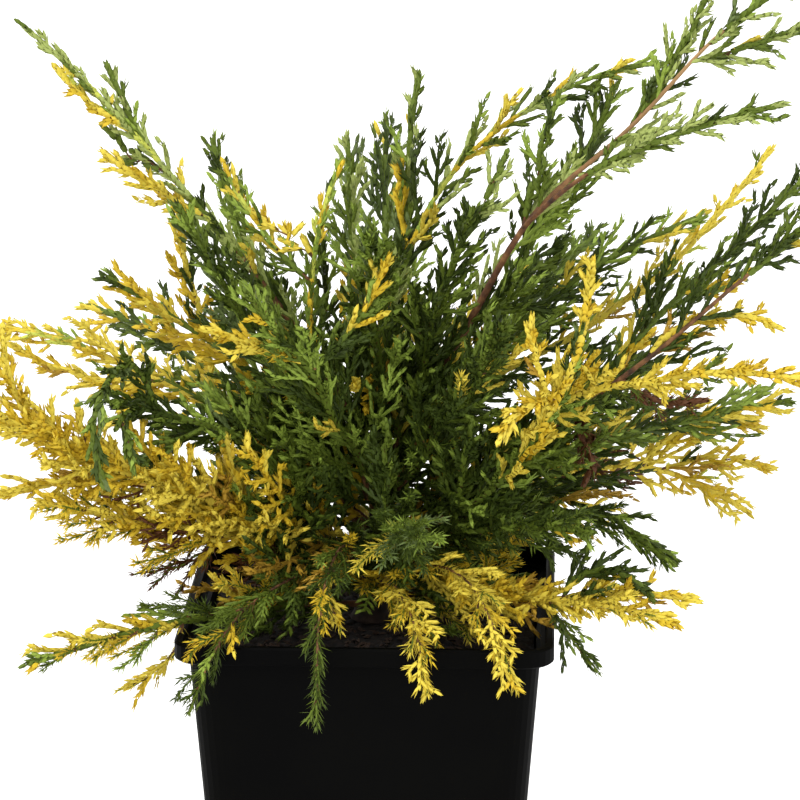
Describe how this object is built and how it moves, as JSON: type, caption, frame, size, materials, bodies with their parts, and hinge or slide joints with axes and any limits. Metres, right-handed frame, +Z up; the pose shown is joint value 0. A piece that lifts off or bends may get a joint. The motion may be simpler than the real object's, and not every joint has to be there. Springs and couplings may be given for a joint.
{
  "type": "potted dwarf juniper",
  "caption": "Spreading variegated dwarf juniper with green and gold scale foliage on arching boughs, in a square black nursery pot filled with compost.",
  "frame": {"origin": "centre of the flat underside of the pot", "axes": "+Z up, -Y towards the front of the picture, +X to the right of it"},
  "size_m": [0.3539, 0.2527, 0.4649],
  "materials": {
    "pot_plastic": "matt black moulded polypropylene",
    "compost": "damp peat and bark compost",
    "juniper_bark": "thin reddish brown bark",
    "juniper_foliage": "green and golden yellow scale leaves and needles"
  },
  "bodies": {
    "root": {"bough_arch": "juniper_bark", "bough_drooping_right": "juniper_bark", "bough_front_right": "juniper_bark", "bough_low_right": "juniper_bark", "bough_low_right_back": "juniper_bark", "bough_mid_right": "juniper_bark", "bough_mid_right_gold": "juniper_bark", "bough_plume_right": "juniper_bark", "bough_right": "juniper_bark", "bough_right_plume": "juniper_bark", "bough_top": "juniper_bark", "bough_upper_left": "juniper_bark", "bough_upper_right": "juniper_bark", "bough_upper_right_spur": "juniper_bark", "compost": "compost", "foliage_arch": "juniper_foliage", "foliage_back_top": "juniper_foliage", "foliage_drooping_right": "juniper_foliage", "foliage_far_left": "juniper_foliage", "foliage_front_low_right": "juniper_foliage", "foliage_front_right": "juniper_foliage", "foliage_hanging_front": "juniper_foliage", "foliage_hanging_left": "juniper_foliage", "foliage_inner_left": "juniper_foliage", "foliage_inner_right": "juniper_foliage", "foliage_left": "juniper_foliage", "foliage_left_low": "juniper_foliage", "foliage_low_left": "juniper_foliage", "foliage_low_north": "juniper_foliage", "foliage_low_north_east": "juniper_foliage", "foliage_low_north_west": "juniper_foliage", "foliage_low_right": "juniper_foliage", "foliage_low_right_back": "juniper_foliage", "foliage_mid_left": "juniper_foliage", "foliage_mid_right": "juniper_foliage", "foliage_mid_right_gold": "juniper_foliage", "foliage_near_centre": "juniper_foliage", "foliage_near_left": "juniper_foliage", "foliage_near_low": "juniper_foliage", "foliage_near_mid": "juniper_foliage", "foliage_near_plume": "juniper_foliage", "foliage_near_right": "juniper_foliage", "foliage_near_upper": "juniper_foliage", "foliage_north": "juniper_foliage", "foliage_north_east": "juniper_foliage", "foliage_north_west": "juniper_foliage", "foliage_plume_right": "juniper_foliage", "foliage_right": "juniper_foliage", "foliage_right_plume": "juniper_foliage", "foliage_rim_front": "juniper_foliage", "foliage_rim_front_right": "juniper_foliage", "foliage_rim_left": "juniper_foliage", "foliage_rim_right": "juniper_foliage", "foliage_top": "juniper_foliage", "foliage_upper_left": "juniper_foliage", "foliage_upper_left_back": "juniper_foliage", "foliage_upper_right": "juniper_foliage", "foliage_upper_right_spur": "juniper_foliage", "pot": "pot_plastic", "trunk": "juniper_bark"}
  },
  "joints": []
}
